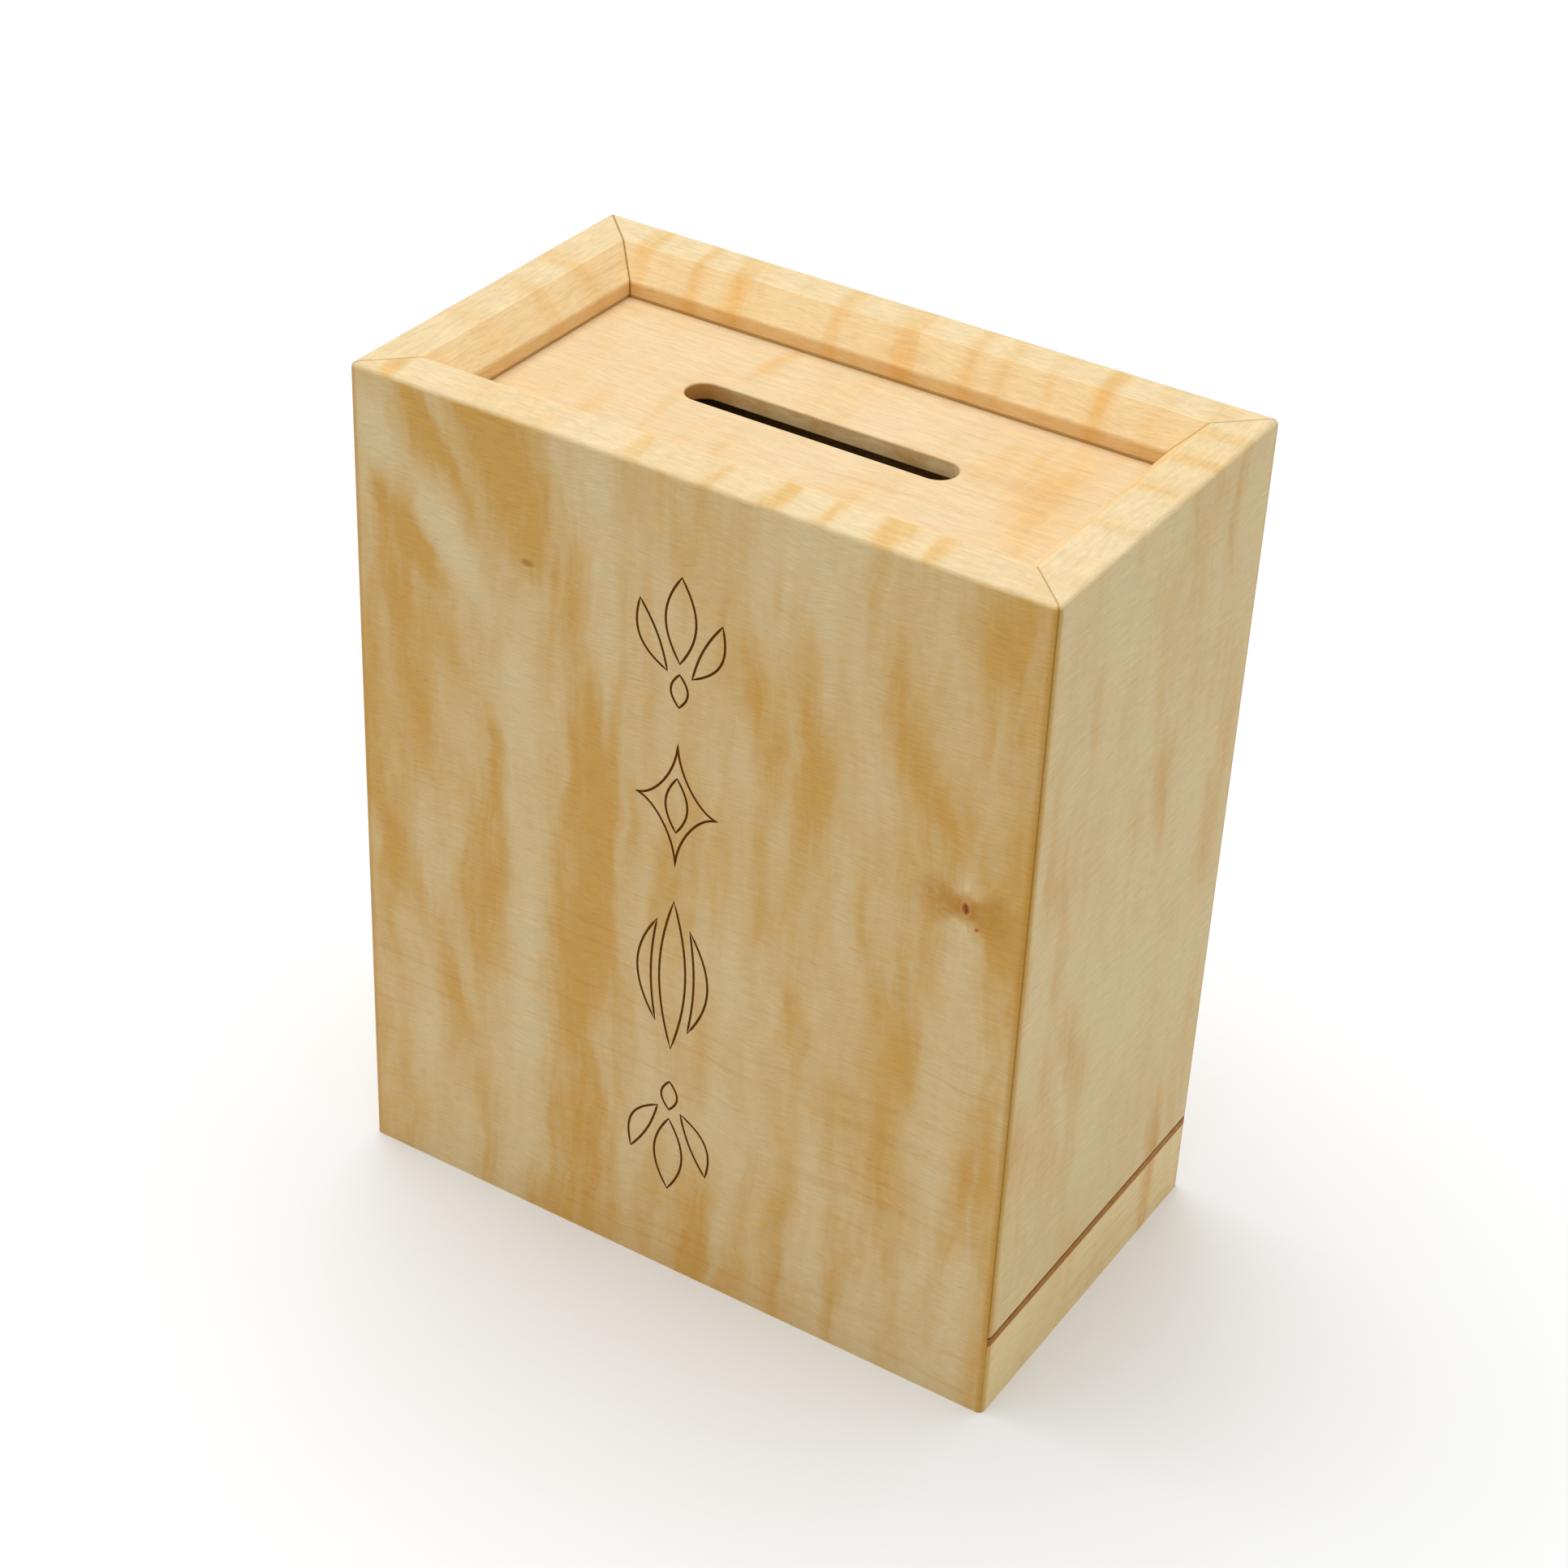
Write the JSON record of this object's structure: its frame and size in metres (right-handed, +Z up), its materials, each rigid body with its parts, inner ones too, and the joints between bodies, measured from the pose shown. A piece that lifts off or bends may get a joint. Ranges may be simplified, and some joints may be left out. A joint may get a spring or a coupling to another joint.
{
  "type": "wooden puzzle box",
  "caption": "Upright coin box of curly maple with mitred walls, a recessed slotted top and a hidden sliding floor behind a red-lined end strip, held by a tilt lock.",
  "frame": {"origin": "centre of the footprint, on the surface that the box stands on", "axes": "+X towards the end that the floor slides out of, +Y towards the back, +Z up"},
  "size_m": [0.1036, 0.0584, 0.127],
  "materials": {
    "curly_maple": "satin",
    "plain_maple": "bare, sanded",
    "padauk": "satin",
    "steel_rod": "drawn and polished"
  },
  "bodies": {
    "casing": {"front_panel": "curly_maple", "right_panel": "curly_maple", "back_panel": "curly_maple", "left_panel": "curly_maple", "slot_panel": "curly_maple", "front_left_spline": "plain_maple", "front_right_spline": "plain_maple", "back_left_spline": "plain_maple", "back_right_spline": "plain_maple", "lock_block": "plain_maple", "pin_bore_plug": "plain_maple"},
    "sliding_floor": {"floor_board": "curly_maple", "end_strip": "curly_maple", "accent_strip": "padauk", "keeper_block": "plain_maple", "keeper_dowel_left": "plain_maple", "keeper_dowel_right": "plain_maple"},
    "bolt": {"lock_bolt": "steel_rod"},
    "falling_pin": {"drop_pin": "steel_rod"},
    "rolling_pin": {"side_pin": "steel_rod"}
  },
  "joints": [
    {"name": "floor_slide", "type": "slide", "parent": "casing", "child": "sliding_floor", "axis": [1, 0, 0], "range_m": [0, 0.0611]},
    {"name": "bolt_slide", "type": "slide", "parent": "casing", "child": "bolt", "axis": [0, 1, 0], "range_m": [-0.0126, 0]},
    {"name": "drop_pin_lift", "type": "slide", "parent": "casing", "child": "falling_pin", "axis": [0, 0, 1], "range_m": [0, 0.004]},
    {"name": "side_pin_roll", "type": "slide", "parent": "casing", "child": "rolling_pin", "axis": [1, 0, 0], "range_m": [-0.0022, 0]}
  ]
}
